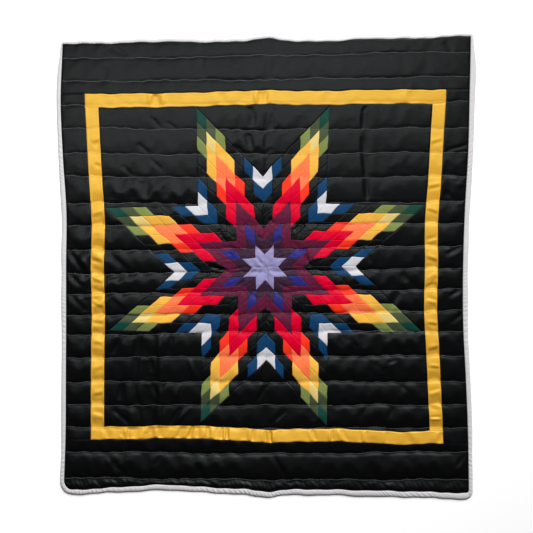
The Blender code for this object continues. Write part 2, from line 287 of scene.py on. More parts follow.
# The line above and the line below points of the given channels
def linesOf(bounds, channel):
    return [np.take_along_axis(bounds, channel[None] + below, 0)[0] for below in (0, 1)]


# Channel number plus the share of the way down it, for points given by their height
def channelRow(share, y):
    bounds = channelBounds(share)
    channel = np.clip((bounds[1:-1] > y).sum(0), 0, channelCount - 1)
    upper, lower = linesOf(bounds, channel)
    return channel + np.clip((upper - y) / (upper - lower), 0.0, 1.0)


# The quilt's own edges around any points, or a line outside them
def edgesAround(share, y, out=noInset):
    foot = endY(panelLines, "foot", share) - out["foot"]
    head = endY(panelLines, "head", share) + out["head"]
    up = np.clip((y - foot) / (head - foot), 0.0, 1.0)
    left = sideX(panelLines, "left", up) - out["left"]
    right = sideX(panelLines, "right", up) + out["right"]
    return foot, head, left, right


# The share of the way across the quilt for any places
def shareAcrossOf(x, y):
    share = 0.5 + x / quilt["width"]
    for attempt in range(3):
        foot, head, left, right = edgesAround(share, y)
        share = np.clip((x - left) / (right - left), 0.0, 1.0)
    return share


# Draws the points near the quilt's four corners in, so that each square corner becomes an arc
def roundCorners(x, y, out=noInset):
    foot, head, left, right = edgesAround(np.clip(0.5 + x / quilt["width"], 0, 1), y, out)
    newX, newY = x.copy(), y.copy()
    for corner, radius in quilt["cornerRadius"].items():
        onFoot = corner.startswith("foot")
        onLeft = corner.endswith("Left")
        radius = radius + (out["foot" if onFoot else "head"] + out["left" if onLeft else "right"]) / 2
        across = x - left if onLeft else right - x
        along = y - foot if onFoot else head - y
        near = (across < radius) & (along < radius)
        reachX = np.where(near, radius - across, 1.0)
        reachY = np.where(near, radius - along, 1.0)
        shrink = np.maximum(reachX, reachY) / np.hypot(reachX, reachY)
        arcX = left + radius - reachX * shrink if onLeft else right - radius + reachX * shrink
        arcY = foot + radius - reachY * shrink if onFoot else head - radius + reachY * shrink
        newX = np.where(near, arcX, newX)
        newY = np.where(near, arcY, newY)
    return newX, newY


def inFrame(x, y, z):
    return np.stack([x + quilt["shiftX"], y + quilt["shiftY"], z], -1)


# The filled face, worked out on one even grid of the whole quilt and read by every piece

relief = {
    "across": 150,          # cells across the quilt, 10 mm each
    "perChannel": 9,        # cells down each channel
    "frames": 24,           # the cloth settles this long
    "calm": 0.16,           # share of the puckers that stays on the calm upper third
    "lively": 0.42,         # and near the foot
    "cloth": {
        "quality": 4, "mass": 0.2, "air_damping": 2, "shear_stiffness": 4, "bending_stiffness": 4.0,
        "tension_stiffness": 16, "compression_stiffness": 16,
        "shrink_min": -0.020, "shrink_max": -0.020,         # spare cloth between the quilting lines
        "use_pressure": True, "uniform_pressure_force": 1.6,        # of the filling from below
    },
}


# Folds as soft troughs with a raised shoulder on one side (or as steps), fading out towards both ends
def foldHeight(x, y, folds, stepped=False):
    height = np.zeros_like(x)
    for fromX, fromY, toX, toY, width, depth in folds:
        start = np.array((fromX, fromY)) * mm
        way = np.array((toX, toY)) * mm - start
        length = np.hypot(*way)
        along = ((x - start[0]) * way[0] + (y - start[1]) * way[1]) / length
        across = ((y - start[1]) * way[0] - (x - start[0]) * way[1]) / length / (width * mm)
        part = np.clip(along / length, 0, 1)
        if stepped:
            near = 2.33 * across * np.exp(-across * across)
        else:
            steep = across * (1 + 0.35 * np.tanh(across))
            near = np.exp(-steep * steep) - 0.35 * np.exp(-(across + 1.7) ** 2)
        height += depth * mm * near * np.sin(part * math.pi) ** 0.5
    return height


# Slanting ripples in the narrow last channel, where satin pulls on the stitches of the edge
def rippleHeight(x, y, row):
    down = row % 1
    swell = 4 * down * (1 - down)
    slant = x - 0.33 * down * quilt["length"] / channelCount
    last = np.clip(row - channelCount + 1.6, 0, 1)
    wander = 0.9 * np.sin(19 * x + 1.1) + 0.6 * np.sin(47 * x)
    ripple = np.sin(slant * 290 + 4 * wander) + 0.6 * np.sin(slant * 493 + 7 * wander)
    return quilt["ripple"] * ripple * last * swell


# Where eight arms and their seams meet, the small patches of the star pull on each other
def seamPuckers(x, y):
    fromCentre = np.hypot(x - starCentre[0], y - starCentre[1])
    near = np.exp(-(fromCentre / starWork["puckerReach"]) ** 2)
    height = np.zeros_like(x)
    for turn in range(5):
        angle = 0.5 + turn * 0.63
        across = x * math.cos(angle) + y * math.sin(angle)
        along = y * math.cos(angle) - x * math.sin(angle)
        bent = across + 0.006 * np.sin(along * (31 + 7 * turn) + turn)
        fading = 0.5 + 0.5 * np.sin(along * (40 + 9 * turn))
        height += np.sin(bent * (250 + 43 * turn) + 2.1 * turn) * fading
    return starWork["pucker"] * near * height


# Hand-sewn patches never meet in ruled lines: moves every place of the panel a little
def sewnUnevenly(plan):
    x, y = plan.T
    fromCentre = np.hypot(x - starCentre[0], y - starCentre[1])
    inside = np.clip((starWork["wanderReach"] - fromCentre) / 0.1, 0, 1) * starWork["wander"]
    moveX = np.sin(61 * x + 23 * y + 0.4) * np.sin(37 * y - 19 * x + 1.1) + 0.5 * np.sin(118 * y + 41 * x)
    moveY = np.sin(53 * y - 29 * x + 2.3) * np.sin(43 * x + 17 * y + 0.2) + 0.5 * np.sin(107 * x - 37 * y)
    return plan + np.stack([moveX, moveY], -1) * inside[:, None]


# The filled face without its puckers: full between two quilting lines, rolled off at the sides
def plainRelief(share, row):
    bounds = channelBounds(share)
    channel = np.minimum(row.astype(int), channelCount - 1)
    down = row - channel
    upper, lower = linesOf(bounds, channel)
    y = upper + (lower - upper) * down
    foot, head = bounds[-1], bounds[0]
    up = (y - foot) / (head - foot)
    left, right = sideX(panelLines, "left", up), sideX(panelLines, "right", up)
    x = left + (right - left) * share
    fills = np.array([headFill] + [line[3] for line in quiltingLines])[channel]
    for atX, atY, width, height, less in thinPlaces:
        fills = fills - less * np.exp(-((x - atX) / width) ** 4 - ((y - atY) / height) ** 4)
    uneven = 1 + 0.07 * np.sin(9 * x + 5 * y) + 0.05 * np.sin(23 * x - 11 * y)
    power = np.interp(channel / channelCount, quilt["down"], quilt["crownPower"])
    stitched = np.interp(row / channelCount, quilt["down"], quilt["stitched"])
    lean = np.where(channel == channelCount - 1, down ** 1.9, down)     # the last channel rises to the edge
    swell = np.clip(4 * lean * (1 - lean), 0, 1) ** power
    crown = stitched + (quilt["crown"] * fills * uneven - stitched) * swell
    crown += foldHeight(x, y, longFolds) * (0.35 + 0.65 * swell)
    fromSide = np.minimum(share, 1 - share) * quilt["width"]
    roll = np.sin(np.minimum(fromSide / quilt["edgeRoll"], 1) * math.pi / 2) ** 0.7
    height = quilt["edge"] + (crown - quilt["edge"]) * roll
    atEnd = (row <= 0) | (row >= channelCount)
    return x, y, np.where(atEnd, quilt["edge"], height)


def reliefGrid():
    columns, rows = relief["across"] + 1, relief["perChannel"] * channelCount + 1
    share, row = evenPlaces(columns, rows, channelCount)
    x, y, z = plainRelief(share, row)
    offset = np.stack([np.zeros_like(z), np.zeros_like(z), z], -1)
    start = np.stack([x, y, z], -1)
    pucker = (settleCloth(start, columns, rows) - start).reshape(columns, rows, 3)
    beside = (np.roll(pucker, 1, 0) + np.roll(pucker, -1, 0)) / 2
    pucker[1:-1] = 0.6 * pucker[1:-1] + 0.4 * beside[1:-1]
    offset += pucker.reshape(-1, 3) * puckerShare(x, y)[:, None]
    return offset.reshape(columns, rows, 3)


# The satin puckers unevenly: some stretches of a channel stay smooth, the ones near the foot hardly any
def puckerShare(x, y):
    down = np.clip(0.5 - y / quilt["length"], 0, 1)
    share = relief["calm"] + (relief["lively"] - relief["calm"]) * np.clip(down * 1.6 - 0.35, 0, 1)
    patches = np.sin(7.0 * x + 11.0 * y + 0.6) * np.sin(13.0 * x - 17.0 * y + 2.1)
    share = share + 0.5 * share * patches
    for atX, atY, width, height, extra in pulledPlaces:
        share += extra * np.exp(-((x - atX) / width) ** 2 - ((y - atY) / height) ** 2)
    return np.clip(share, 0.05, 1.0)


# Blender's cloth, blown up softly from below and held along the quilting
def settleCloth(points, columns, rows):
    mesh = bpy.data.meshes.new("face")
    index, quads = gridFaces(columns, rows)
    mesh.from_pydata(points.tolist(), [], quads[:, (0, 3, 2, 1)].tolist())
    face = bpy.data.objects.new("face", mesh)
    bpy.context.scene.collection.objects.link(face)
    sewn = np.zeros((columns, rows), bool)
    sewn[:, ::relief["perChannel"]] = True
    sewn[0] = sewn[-1] = True
    face.vertex_groups.new(name="sewn").add(index[sewn].tolist(), 1.0, "REPLACE")
    cloth = face.modifiers.new("cloth", "CLOTH")
    cloth.settings.vertex_group_mass = "sewn"
    cloth.settings.effector_weights.gravity = 0
    for setting, value in relief["cloth"].items():
        setattr(cloth.settings, setting, value)
    cloth.collision_settings.use_collision = False
    cloth.collision_settings.use_self_collision = False
    scene = bpy.context.scene
    cloth.point_cache.frame_start = 1
    cloth.point_cache.frame_end = relief["frames"]
    for step in range(1, relief["frames"] + 1):
        scene.frame_set(step)
    settled = face.evaluated_get(bpy.context.evaluated_depsgraph_get())
    moved = np.empty(columns * rows * 3, np.float32)
    settled.to_mesh().vertices.foreach_get("co", moved)
    settled.to_mesh_clear()
    scene.frame_set(1)
    bpy.data.objects.remove(face)
    bpy.data.meshes.remove(mesh)
    return moved.reshape(-1, 3).astype(float)


# The face at any place: the settled filling with the short folds and ripples laid over it
def faceAt(grid, share, row, x, y, gathered=0.0):
    offset = readRelief(grid, share, row)
    height = offset[:, 2] + foldHeight(x, y, shortFolds) + rippleHeight(x, y, row) + seamPuckers(x, y)
    soft = quilt["softStop"]
    clear = (height + gathered - quilt["thinnest"]) / soft
    offset[:, 2] = quilt["thinnest"] + soft * np.logaddexp(0.0, clear)
    return offset


# The grid's offsets at any places, with a smooth curve through the cells on both axes
def readRelief(grid, share, row):
    columns, rows = grid.shape[:2]
    placeX = np.clip(share, 0, 1) * (columns - 1)
    placeY = np.clip(row / channelCount, 0, 1) * (rows - 1)
    baseX = np.clip(placeX.astype(int), 0, columns - 2)
    baseY = np.clip(placeY.astype(int), 0, rows - 2)
    total = np.zeros((len(share), 3))
    for stepX, weightX in curveWeights(placeX - baseX):
        for stepY, weightY in curveWeights(placeY - baseY):
            atX = np.clip(baseX + stepX, 0, columns - 1)
            atY = np.clip(baseY + stepY, 0, rows - 1)
            total += grid[atX, atY] * (weightX * weightY)[:, None]
    return total


# Grids of points and the pieces made from them

def evenPlaces(columns, rows, top=1.0):
    across, up = np.meshgrid(np.linspace(0, 1, columns), np.linspace(0, top, rows), indexing="ij")
    return across.ravel(), up.ravel()


def gridFaces(columns, rows):
    index = np.arange(columns * rows).reshape(columns, rows)
    quads = np.stack([index[:-1, :-1], index[1:, :-1], index[1:, 1:], index[:-1, 1:]], -1).reshape(-1, 4)
    return index, quads


# The points once round a grid's edge, or round the ring that many steps inside it
def rimOf(index, inside=0):
    return np.concatenate([index[:-1, inside], index[-1 - inside, :-1],
                           index[:0:-1, -1 - inside], index[inside, :0:-1]])


# The wall down from one ring of points to another
def wallBetween(upper, under):
    return np.stack([np.roll(upper, -1), upper, under, np.roll(under, -1)], -1)


def makePiece(name, points, faces, cloths):
    mesh = bpy.data.meshes.new(name)
    mesh.vertices.add(len(points))
    mesh.vertices.foreach_set("co", points.astype(np.float32).ravel())
    mesh.loops.add(faces.size)
    mesh.loops.foreach_set("vertex_index", faces.astype(np.int32).ravel())
    mesh.polygons.add(len(faces))
    mesh.polygons.foreach_set("loop_start", np.arange(0, faces.size, faces.shape[1], dtype=np.int32))
    mesh.update(calc_edges=True)
    mesh.validate()
    mesh.shade_smooth()
    for cloth in cloths:
        mesh.materials.append(cloth)
    piece = bpy.data.objects.new(name, mesh)
    bpy.context.scene.collection.objects.link(piece)
    return piece


# Cut pieces: every piece of the face is an even grid stretched between its four edges

seam = {
    "depth": 1.1 * mm,        # how far a seam sinks between two cloths
    "width": 1.5 * mm,
    "allowance": 6.4 * mm,    # a quarter inch, pressed to one side and felt through the satin
    "ridge": 0.6 * mm,
    "turnUnder": 2.4 * mm,    # the cut edge goes down into the seam
    "lean": 1.3 * mm,         # and a little way under the next cloth
    "lowest": 0.5 * mm,       # but never through the back
    "crowd": 0.6,             # how much closer the mesh stands beside a seam
    "bothSides": 0.012,       # added to the flat width of a band for its two allowances
}


def lineBetween(start, end):
    start, end = np.array(start), np.array(end)
    return lambda share: start + (end - start) * share[:, None]


def lineThrough(start, middle, end):
    start, middle, end = (np.array(point) for point in (start, middle, end))
    first = np.linalg.norm(middle - start)
    part = first / (first + np.linalg.norm(end - middle))

    def at(share):
        share = share[:, None]
        near = start + (middle - start) * share / part
        far = middle + (end - middle) * (share - part) / (1 - part)
        return np.where(share < part, near, far)

    return at


# The sash's line at a place across the quilt (head and foot) or up it (the two sides)
def sashAt(side, place, inset=0.0):
    reach, line = ("width", endY) if side in ("foot", "head") else ("length", sideX)
    share = np.clip(0.5 + place / sashLines[reach], 0, 1)
    return line(sashLines, side, share, inset)


# Where two of its lines cross, found in a few steps because each depends on the other
def sashCorner(side, end, insetSide, insetEnd):
    x, y = 0.0, 0.0
    for attempt in range(5):
        x = float(sashAt(side, y, insetSide))
        y = float(sashAt(end, x, insetEnd))
    return np.array((x, y))


def alongSash(side, inset, start, stop):
    def at(share):
        place = start + (stop - start) * share
        line = sashAt(side, place, inset)
        return np.stack([place, line] if side in ("foot", "head") else [line, place], -1)

    return at


# A stretch of the quilt's own edge, from one share of it to another
def alongEdge(side, first, last):
    return lambda share: sidePoints(panelLines, side, first + (last - first) * share)


# A place for every (u, v) of a piece, from the curves of its four edges
def fillBetween(foot, head, left, right):
    zero, one = np.zeros(1), np.ones(1)
    fixed = [foot(zero), foot(one), head(zero), head(one)]

    def at(u, v):
        across, up = u[:, None], v[:, None]
        ruled = (1 - up) * foot(u) + up * head(u) + (1 - across) * left(v) + across * right(v)
        flat = ((1 - across) * (1 - up) * fixed[0] + across * (1 - up) * fixed[1]
                + (1 - across) * up * fixed[2] + across * up * fixed[3])
        return ruled - flat

    return at


# The same for a band on one side of the quilt, from its outer and its inner line
def fillBand(side, outer, inner, caps=None):
    near, far = (outer, inner) if side in ("left", "foot") else (inner, outer)
    caps = caps or [lineBetween(near(end)[0], far(end)[0]) for end in (np.zeros(1), np.ones(1))]
    return fillBetween(near, far, *caps) if side in ("foot", "head") else fillBetween(*caps, near, far)


# Moves even grid lines closer to the seams, which cut a piece into that many strips
def crowdToSeams(share, count, amount):
    return share - amount * np.sin(2 * math.pi * share * count) / (2 * math.pi * count)


# The fuller satin of the sash: gathers across it, and on its sides a sag towards the foot of each channel
def sashGathers(x, y, row, middle, sagging):
    height = foldHeight(x, y, gathers, stepped=True)
    if sagging:
        down = row % 1
        sag = np.clip((down - sashSag["from"]) / sashSag["over"], 0, 1) * np.clip(14 * (1 - down), 0, 1)
        lively = np.interp(row / channelCount, (0.22, 0.42), (0, 1))
        height -= np.interp(x, (-0.3, 0.3), (sashSag["left"], sashSag["right"])) * sag * lively
    return height * np.clip(9 * middle * (1 - middle), 0, 1)


# Seams sink between cloths, and the allowance pressed behind one edge stands up a little
def seamRelief(u, v, size, strips, ridges):
    nearU = np.abs(u * strips - np.round(u * strips)) / strips * size[0]
    nearV = np.abs(v * strips - np.round(v * strips)) / strips * size[1]
    sunk = np.exp(-(nearU / seam["width"]) ** 2) + np.exp(-(nearV / seam["width"]) ** 2)
    height = -seam["depth"] * np.minimum(sunk, 1)
    away = {"left": u * size[0], "right": (1 - u) * size[0], "foot": v * size[1], "head": (1 - v) * size[1]}
    for edge in ridges:
        step = np.clip((seam["allowance"] - away[edge]) / (1.2 * mm), 0, 1)
        height += seam["ridge"] * step * step * (3 - 2 * step)
    return height


# One cut piece, or one arm of small diamonds, laid over the filling with its edges turned into the seams
def quiltFace(name, at, cells, size, cloths, grid, chart=None, ridges=(), lean=0.0):
    strips = 1 if chart is None else len(chart)
    even = evenPlaces(cells[0] + 1, cells[1] + 1)
    crowd = 0.0 if chart is None else seam["crowd"]
    u, v = (crowdToSeams(share, strips, crowd) for share in even)
    x, y = sewnUnevenly(at(u, v)).T
    share = shareAcrossOf(x, y)
    row = channelRow(share, y)
    upright = size[1] > size[0]
    gather = sashGathers(x, y, row, u if upright else v, upright) if ridges else 0.0
    offset = faceAt(grid, share, row, x, y, gather)
    z = offset[:, 2] + seamRelief(u, v, size, strips, ridges)
    face = inFrame(*roundCorners(x + offset[:, 0], y + offset[:, 1]), z)

    index, quads = gridFaces(cells[0] + 1, cells[1] + 1)
    rim = rimOf(index)
    out = (face[rim] - face[rimOf(index, 1)])[:, :2]
    turned = face[rim] - (0, 0, seam["turnUnder"])
    turned[:, :2] += out / np.linalg.norm(out, axis=1)[:, None] * lean
    turned[:, 2] = np.maximum(turned[:, 2], seam["lowest"])
    upper = len(face) + np.arange(len(rim))
    faces = np.concatenate([quads, wallBetween(upper, upper + len(rim))])
    piece = makePiece(name, np.concatenate([face, face[rim], turned]), faces, cloths)
    if chart is not None:
        patch = []
        for share in even:
            middle = np.concatenate([share[quads].mean(1), (share[rim] + np.roll(share[rim], -1)) / 2])
            patch.append(np.minimum((middle * strips).astype(int), strips - 1))
        piece.data.polygons.foreach_set("material_index", chart[tuple(patch)].astype(np.int32))
    return piece


# Cloths

def linear(hexColour):
    parts = [int(hexColour[place:place + 2], 16) / 255 for place in (1, 3, 5)]
    return tuple(part / 12.92 if part <= 0.04045 else ((part + 0.055) / 1.055) ** 2.4 for part in parts)


def setNode(tree, node, settings=None, links=None):
    for name, value in (settings or {}).items():
        node.inputs[name].default_value = value
    for name, source in (links or {}).items():
        tree.links.new(source, node.inputs[name])
    return node


# One node with its settings, its fixed inputs and what feeds it
def addNode(tree, kind, settings=None, links=None, **fields):
    node = tree.nodes.new(kind)
    for name, value in fields.items():
        setattr(node, name, value)
    return setNode(tree, node, settings, links)


def startMaterial(name):
    material = bpy.data.materials.new(name)
    material.use_nodes = True
    return material, material.node_tree, material.node_tree.nodes["Principled BSDF"]


# Polyester satin, woven with long floats: a smooth face with a soft broad highlight
satin = {
    "roughness": 0.36,
    "specular": {"black": 0.095, "sashYellow": 0.36, "others": 0.04},
    "tint": {"sashYellow": (0.82, 1.0, 0.35), "others": (0.89, 1.0, 0.98)},     # black shines a cool grey
    "threadPitch": 2.6,         # mm; the real threads are 0.15 mm apart and too fine to show
    "threadHeight": 0.05 * mm,
    "slubLength": 34,           # mm, slow streaks along the weft
    "slubHeight": 0.00006,
    "crinkle": 11,              # mm, tiny pulls left from handling
    "crinkleHeight": 0.00035,
    "shadeChange": 0.09,
}

satinColours = {
    "black": "#070708",
    "darkGreen": "#133a31",
    "olive": "#3d4631",
    "lightGreen": "#6c7741",
    "paleYellow": "#c9b36d",
    "yellow": "#d49f3f",
    "coral": "#e66c41",
    "orangeRed": "#dc301c",
    "red": "#be0026",
    "plum": "#521730",
    "violet": "#262468",
    "darkPlum": "#301d2d",
    "lavender": "#837ea5",
    "blue": "#0f3457",
    "white": "#b7b6bb",
    "sashYellow": "#c9962f",
}


def satinCloth(name, hexColour):
    cloth, tree, shader = startMaterial("polyesterSatin_" + name)
    colour = linear(hexColour)
    change = satin["shadeChange"]
    dark = (*(part * (1 - change) for part in colour), 1.0)
    light = (*(min(part * (1 + change), 1.0) for part in colour), 1.0)
    place = addNode(tree, "ShaderNodeTexCoord").outputs["Object"]
    along = addNode(tree, "ShaderNodeMapping", {"Scale": (1.0, 6.0, 1.0)}, {"Vector": place})
    slub = addNode(tree, "ShaderNodeTexNoise", {"Scale": 1000 / satin["slubLength"], "Detail": 4.0},
                   {"Vector": along.outputs["Vector"]})
    crinkle = addNode(tree, "ShaderNodeTexNoise", {"Scale": 1000 / satin["crinkle"], "Detail": 3.0,
                                                   "Roughness": 0.45, "Distortion": 0.6}, {"Vector": place})
    warp = addNode(tree, "ShaderNodeTexWave", {"Scale": 1000 / satin["threadPitch"] / 20,
                                               "Distortion": 0.4, "Detail": 1.0}, {"Vector": place},
                   wave_type="BANDS", bands_direction="DIAGONAL")
    tone = addNode(tree, "ShaderNodeMix", {6: dark, 7: light}, {0: slub.outputs["Fac"]}, data_type="RGBA")
    gloss = addNode(tree, "ShaderNodeMapRange", {"To Min": satin["roughness"] - 0.05,
                                                 "To Max": satin["roughness"] + 0.07},
                    {"Value": crinkle.outputs["Fac"]})
    low = addNode(tree, "ShaderNodeBump", {"Strength": 1.0, "Distance": satin["crinkleHeight"]},
                  {"Height": crinkle.outputs["Fac"]})
    middle = addNode(tree, "ShaderNodeBump", {"Strength": 1.0, "Distance": satin["slubHeight"]},
                     {"Height": slub.outputs["Fac"], "Normal": low.outputs["Normal"]})
    fine = addNode(tree, "ShaderNodeBump", {"Strength": 0.25, "Distance": satin["threadHeight"]},
                   {"Height": warp.outputs["Fac"], "Normal": middle.outputs["Normal"]})
    setNode(tree, shader, {
        "Metallic": 0.0,
        "IOR": 1.5,
        "Specular IOR Level": satin["specular"].get(name, satin["specular"]["others"]),
        "Specular Tint": (*satin["tint"].get(name, satin["tint"]["others"]), 1.0),
    }, {
        "Base Color": tone.outputs[2],
        "Roughness": gloss.outputs["Result"],
        "Normal": fine.outputs["Normal"],
    })
    return cloth


# Plain woven cotton for the edge and the back: matt, with a visible thread and a little lint
cotton = {
    "roughness": 0.88,
    "threadPitch": 2.2,         # mm; real threads are 0.4 mm apart, drawn coarser so that they show
    "threadHeight": 0.00012,
    "creaseScale": 26,          # mm
    "creaseHeight": 0.0006,
}


def wovenCotton(name, hexColour):
    cloth, tree, shader = startMaterial("wovenCotton_" + name)
    colour = linear(hexColour)
    dark = (*(part * 0.88 for part in colour), 1.0)
    light = (*(min(part * 1.08, 1.0) for part in colour), 1.0)
    place = addNode(tree, "ShaderNodeTexCoord").outputs["Object"]
    crease = addNode(tree, "ShaderNodeTexNoise", {"Scale": 1000 / cotton["creaseScale"], "Detail": 4.0,
                                                  "Distortion": 0.8}, {"Vector": place})
    warp, weft = (addNode(tree, "ShaderNodeTexWave", {"Scale": 1000 / cotton["threadPitch"] / 20},
                          {"Vector": place}, wave_type="BANDS", bands_direction=way) for way in "XY")
    weave = addNode(tree, "ShaderNodeMath", links={0: warp.outputs["Fac"], 1: weft.outputs["Fac"]},
                    operation="MULTIPLY")
    tone = addNode(tree, "ShaderNodeMix", {6: dark, 7: light}, {0: crease.outputs["Fac"]}, data_type="RGBA")
    rough = addNode(tree, "ShaderNodeMapRange", {"To Min": cotton["roughness"] - 0.06,
                                                 "To Max": cotton["roughness"] + 0.06},
                    {"Value": crease.outputs["Fac"]})
    soft = addNode(tree, "ShaderNodeBump", {"Strength": 1.0, "Distance": cotton["creaseHeight"]},
                   {"Height": crease.outputs["Fac"]})
    fine = addNode(tree, "ShaderNodeBump", {"Strength": 0.6, "Distance": cotton["threadHeight"]},
                   {"Height": weave.outputs["Value"], "Normal": soft.outputs["Normal"]})
    setNode(tree, shader, {
        "IOR": 1.5,
        "Specular IOR Level": 0.3,
        "Sheen Weight": 0.2,
    }, {
        "Base Color": tone.outputs[2],
        "Roughness": rough.outputs["Result"],
        "Normal": fine.outputs["Normal"],
    })
    return cloth


# Spun polyester sewing thread: round, slightly furry, paler than the black satin it lies on. Its grey is
# partly its own colour and partly a painted glint: it is lightened so that the thin line of stitches reads
# as lit.
def spunThread(hexColour):
    spun, tree, shader = startMaterial("spunPolyesterThread")
    setNode(tree, shader, {"Base Color": (*linear(hexColour), 1.0), "Roughness": 0.6, "IOR": 1.5})
    return spun


def studioFloor():
    bpy.ops.mesh.primitive_plane_add(size=60, location=(0, 0, -0.0005))
    floor = bpy.context.object
    floor.name = "studioFloor"
    paint, tree, shader = startMaterial("mattWhitePaint")
    white = (*linear("#fcfcfc"), 1.0)
    setNode(tree, shader, {"Base Color": white, "Roughness": 0.9, "Specular IOR Level": 0.1})
    floor.data.materials.append(paint)


# The face, cut piece by cut piece: how fine the meshes are comes first
cellSize = {
    "diamond": 14,              # cells along one small diamond
    "setting": 82,              # and along one setting piece
    "band": 4.2 * mm,
    "sash": 3.0 * mm,
    "acrossSash": 15,
}
# Side of a setting piece as sewn, and what a maker cuts for a square and a triangle
settingCut = {"sewn": 0.345, "square": (0.357, 0.357), "triangle": (0.50, 0.25), "triangleArea": 0.062}
diamondShape = {"long": 1.848, "short": 0.766, "area": 0.707}       # 45 degree diamond with a side of 1
tipSides = ("right", "head", "head", "left", "left", "foot", "foot", "right")       # what each tip points at
corners = {}
innerCorners = {}
for side in ("left", "right"):
    for end in ("foot", "head"):
        corners[side, end] = sashCorner(side, end, 0.0, 0.0)
        innerCorners[side, end] = sashCorner(side, end, sashWidth[side], sashWidth[end])


# Where the seam beyond an arm's tip meets the sash
def seamFoot(tip):
    x, y = starTips[tip]
    side = tipSides[tip]
    if side in ("left", "right"):
        return np.array((float(sashAt(side, y, sashWidth[side])), y))
    return np.array((x, float(sashAt(side, x, sashWidth[side]))))


# The seam from a notch of the star past the tip beside it to the sash, or the same one inwards
def seamBeyond(notch, tip, outwards=True):
    places = (starNotches[notch], starTips[tip], seamFoot(tip))
    return lineThrough(*(places if outwards else places[::-1]))


def cellsFor(length, cell):
    return int(round(length / cellSize[cell]))


# Makes one piece of the face and attaches it to the quilt's body
def layCloth(name, at, cells, size, cloths, grid, flat, area=None, **finish):
    piece = quiltFace(name, at, cells, size, cloths, grid, **finish)
    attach(piece, "root")
    return piece


def makeStar(cloths, grid):
    names = sorted({word for row in armChart for word in row.split()})
    chart = np.array([[names.index(word) for word in row.split()] for row in armChart])
    cells = (cellSize["diamond"] * len(armChart),) * 2
    arms = []
    for arm in range(8):
        tip, near, far = starTips[arm], starNotches[arm], starNotches[(arm + 1) % 8]
        at = fillBetween(lineBetween(tip, far), lineBetween(near, starCentre),
                         lineBetween(tip, near), lineBetween(far, starCentre))
        side = math.dist(tip, near)
        flat = (side * diamondShape["long"], side * diamondShape["short"])
        area = side * side * diamondShape["area"]
        arms.append(layCloth("starArm_%d" % (arm + 1), at, cells, (side, side),
                             [cloths[name] for name in names], grid, flat, area,
                             chart=chart, lean=seam["lean"]))
    return arms


# Four corner squares and four side triangles that set the star into a panel
def makeSetting(cloths, grid):
    pieces = []
    cells = (cellSize["setting"],) * 2
    size = (settingCut["sewn"],) * 2
    black = [cloths["black"]]
    # side, end, notch at the inner corner, tip towards the side, tip towards the end
    squares = (("right", "head", 1, 0, 1), ("left", "head", 3, 3, 2),
               ("left", "foot", 5, 4, 5), ("right", "foot", 7, 7, 6))
    for side, end, notch, sideTip, endTip in squares:
        corner = innerCorners[side, end]
        level = seamBeyond(notch, sideTip, side == "right")
        upright = seamBeyond(notch, endTip, end == "head")
        onEnd = alongSash(end, sashWidth[end], *sorted((seamFoot(endTip)[0], corner[0])))
        onSide = alongSash(side, sashWidth[side], *sorted((seamFoot(sideTip)[1], corner[1])))
        foot, head = (level, onEnd) if end == "head" else (onEnd, level)
        left, right = (upright, onSide) if side == "right" else (onSide, upright)
        pieces.append(layCloth("cornerSquare_" + end + side.title(), fillBetween(foot, head, left, right),
                               cells, size, black, grid, settingCut["square"], lean=seam["lean"]))
    for name, notch in (("right", 0), ("head", 2), ("left", 4), ("foot", 6)):
        axis = 1 if name in ("left", "right") else 0
        before, after = seamFoot(notch - 1)[axis], seamFoot(notch)[axis]
        middle = (before + after) / 2
        at = fillBetween(seamBeyond(notch, notch - 1), alongSash(name, sashWidth[name], after, middle),
                         seamBeyond(notch, notch), alongSash(name, sashWidth[name], before, middle))
        pieces.append(layCloth("sideTriangle_" + name, at, cells, size, black, grid, settingCut["triangle"],
                               settingCut["triangleArea"], lean=seam["lean"]))
    return pieces


# The two end bands run the full width, the side bands fit between them
def makeSash(cloths, grid):
    pieces = []
    for side in ("head", "foot", "left", "right"):
        width = sashWidth[side]
        if side in ("foot", "head"):
            start, stop = corners["left", side][0], corners["right", side][0]
            innerStart, innerStop = start, stop
        else:
            start, stop = (sashCorner(side, end, 0.0, sashWidth[end])[1] for end in ("foot", "head"))
            innerStart, innerStop = (innerCorners[side, end][1] for end in ("foot", "head"))
        at = fillBand(side, alongSash(side, 0.0, start, stop), alongSash(side, width, innerStart, innerStop))
        length = stop - start
        cells, size = (cellSize["acrossSash"], cellsFor(length, "sash")), (width, length)
        ridges = ("left", "right")
        if side in ("foot", "head"):
            cells, size, ridges = cells[::-1], size[::-1], ("foot", "head")
        pieces.append(layCloth("sash_" + side, at, cells, size, [cloths["sashYellow"]], grid,
                               (width + seam["bothSides"], length), ridges=ridges, lean=seam["lean"]))
    return pieces


# How far up the quilt's edge a height is
def upShare(y, acrossShare):
    foot, head = (float(endY(panelLines, end, acrossShare)) for end in ("foot", "head"))
    return (y - foot) / (head - foot)


